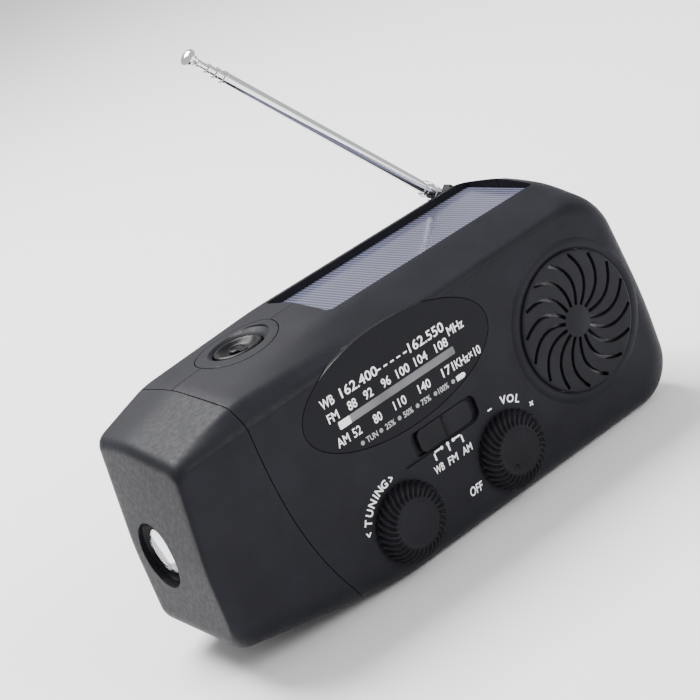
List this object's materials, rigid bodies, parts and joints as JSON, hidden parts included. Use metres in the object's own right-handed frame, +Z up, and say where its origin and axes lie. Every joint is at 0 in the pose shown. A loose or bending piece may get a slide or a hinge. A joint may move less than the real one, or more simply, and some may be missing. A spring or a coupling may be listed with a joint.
{
  "type": "emergency radio",
  "caption": "Compact black hand-crank radio with oval dial, ribbed knobs, round speaker grille, solar top, torch end and telescopic aerial.",
  "frame": {"origin": "on the flat base, under the middle of the case", "axes": "+X toward the speaker end, -Y out of the dial face, +Z up"},
  "size_m": [0.1309, 0.0485, 0.1183],
  "materials": {
    "black_plastic": "fine moulded grain",
    "dial_gloss": "polished, smoked",
    "dial_grey": "printed scale plate",
    "white_plastic": "plain moulded",
    "inner_plastic": "plain moulded",
    "chrome": "bright plated",
    "steel": "plated sheet",
    "board_green": "solder mask",
    "cloth": "fine woven mesh",
    "iron": "sintered",
    "copper": "wound wire",
    "solar_blue": "laminated cells",
    "clear": "clear moulding",
    "rubber": "soft matte",
    "cell_wrap": "shrink-wrapped can"
  },
  "bodies": {
    "case": {"front_case": "black_plastic", "rear_case": "black_plastic", "torch_cap": "black_plastic", "dial_window": "dial_gloss", "dial_plate": "dial_grey", "tuning_capacitor": "steel", "volume_control": "steel", "band_switch": "inner_plastic", "speaker_grille": "black_plastic", "grille_cloth": "cloth", "speaker_basket": "steel", "speaker_cone": "inner_plastic", "speaker_magnet": "iron", "main_board": "board_green", "status_leds": "clear", "ferrite_rod": "iron", "ferrite_coil": "copper", "battery_cell": "cell_wrap", "battery_holder": "inner_plastic", "dynamo": "steel", "gear_plate": "steel", "solar_panel": "solar_blue", "solar_cover": "clear", "button_ring": "black_plastic", "torch_switch": "inner_plastic", "torch_reflector": "chrome", "torch_lens": "clear", "lens_ring": "black_plastic", "torch_led": "clear", "led_board": "white_plastic", "charge_socket": "steel", "output_socket": "steel", "port_board": "board_green", "port_pin": "steel", "case_screws": "steel"},
    "tuning": {"tuning_knob": "black_plastic"},
    "idler": {"dial_idler": "white_plastic"},
    "pointer": {"dial_pointer": "white_plastic"},
    "volume": {"volume_knob": "black_plastic"},
    "band": {"band_slider": "black_plastic"},
    "button": {"torch_button": "black_plastic"},
    "crank": {"crank_arm": "black_plastic", "crank_shaft": "steel", "crank_gear": "white_plastic", "crank_pin": "steel"},
    "spindle": {"crank_spindle": "steel"},
    "handle": {"crank_handle": "black_plastic"},
    "step": {"step_gear": "white_plastic"},
    "rotor": {"dynamo_pinion": "copper"},
    "swivel": {"aerial_swivel": "black_plastic", "aerial_clip": "steel", "aerial_pin": "steel"},
    "mast": {"aerial_knuckle": "chrome", "aerial_tube_1": "chrome"},
    "tube_2": {"aerial_tube_2": "chrome"},
    "tube_3": {"aerial_tube_3": "chrome"},
    "tube_4": {"aerial_tube_4": "chrome", "aerial_tip": "chrome"},
    "flap": {"port_cover": "rubber"}
  },
  "joints": [
    {"name": "tuning_turn", "type": "hinge", "parent": "case", "child": "tuning", "pos_m": [-0.0181, -0.02, 0.0128], "axis": [0, -1, 0], "range_deg": [0, 300]},
    {"name": "idler_turn", "type": "hinge", "parent": "case", "child": "idler", "pos_m": [-0.01621, -0.018, 0.02627], "axis": [0, -1, 0], "range_deg": [-240, 2]},
    {"name": "pointer_slide", "type": "slide", "parent": "case", "child": "pointer", "axis": [1, 0, 0], "range_m": [-0.0002, 0.0318]},
    {"name": "volume_turn", "type": "hinge", "parent": "case", "child": "volume", "pos_m": [0.0129, -0.02, 0.0128], "axis": [0, 1, 0], "range_deg": [0, 280]},
    {"name": "band_slide", "type": "slide", "parent": "case", "child": "band", "axis": [1, 0, 0], "range_m": [-0.0018, 0.0018]},
    {"name": "button_press", "type": "slide", "parent": "case", "child": "button", "axis": [0, 0, -1], "range_m": [0, 0.001], "stiffness_N_per_m": 400},
    {"name": "crank_turn", "type": "hinge", "parent": "case", "child": "crank", "pos_m": [0, 0.0184, 0.0256], "axis": [0, 1, 0], "continuous": true},
    {"name": "step_turn", "type": "hinge", "parent": "case", "child": "step", "pos_m": [-0.00999, 0.011, 0.02884], "axis": [0, 1, 0], "continuous": true},
    {"name": "rotor_turn", "type": "hinge", "parent": "case", "child": "rotor", "pos_m": [-0.01902, 0.01, 0.03178], "axis": [0, 1, 0], "continuous": true},
    {"name": "handle_fold", "type": "hinge", "parent": "crank", "child": "spindle", "pos_m": [-0.0182, 0.0184, 0.0256], "axis": [0, 0, 1], "range_deg": [0, 90]},
    {"name": "handle_spin", "type": "hinge", "parent": "spindle", "child": "handle", "pos_m": [-0.0182, 0.0184, 0.0256], "axis": [1, 0, 0], "continuous": true},
    {"name": "aerial_swing", "type": "hinge", "parent": "case", "child": "swivel", "pos_m": [0.0529, 0.0206, 0.05167], "axis": [0, 1, 0], "range_deg": [-50, 50]},
    {"name": "aerial_tilt", "type": "hinge", "parent": "swivel", "child": "mast", "pos_m": [0.04969, 0.0206, 0.0555], "axis": [-0.766, 0, -0.6428], "range_deg": [0, 90]},
    {"name": "tube_2_slide", "type": "slide", "parent": "mast", "child": "tube_2", "axis": [-0.6428, 0, 0.766], "range_m": [0, 0.06]},
    {"name": "tube_3_slide", "type": "slide", "parent": "tube_2", "child": "tube_3", "axis": [-0.6428, 0, 0.766], "range_m": [0, 0.06]},
    {"name": "tube_4_slide", "type": "slide", "parent": "tube_3", "child": "tube_4", "axis": [-0.6428, 0, 0.766], "range_m": [0, 0.06]},
    {"name": "flap_open", "type": "hinge", "parent": "case", "child": "flap", "pos_m": [0.0644, 0.0168, 0.018], "axis": [0, 0, 1], "range_deg": [0, 100]}
  ],
  "couplings": [
    {"joint": "idler_turn", "follows": "tuning_turn", "ratio": -0.78947},
    {"joint": "pointer_slide", "follows": "tuning_turn", "m_per_rad": 0.006},
    {"joint": "step_turn", "follows": "crank_turn", "ratio": -4.25},
    {"joint": "rotor_turn", "follows": "crank_turn", "ratio": 15.938}
  ]
}
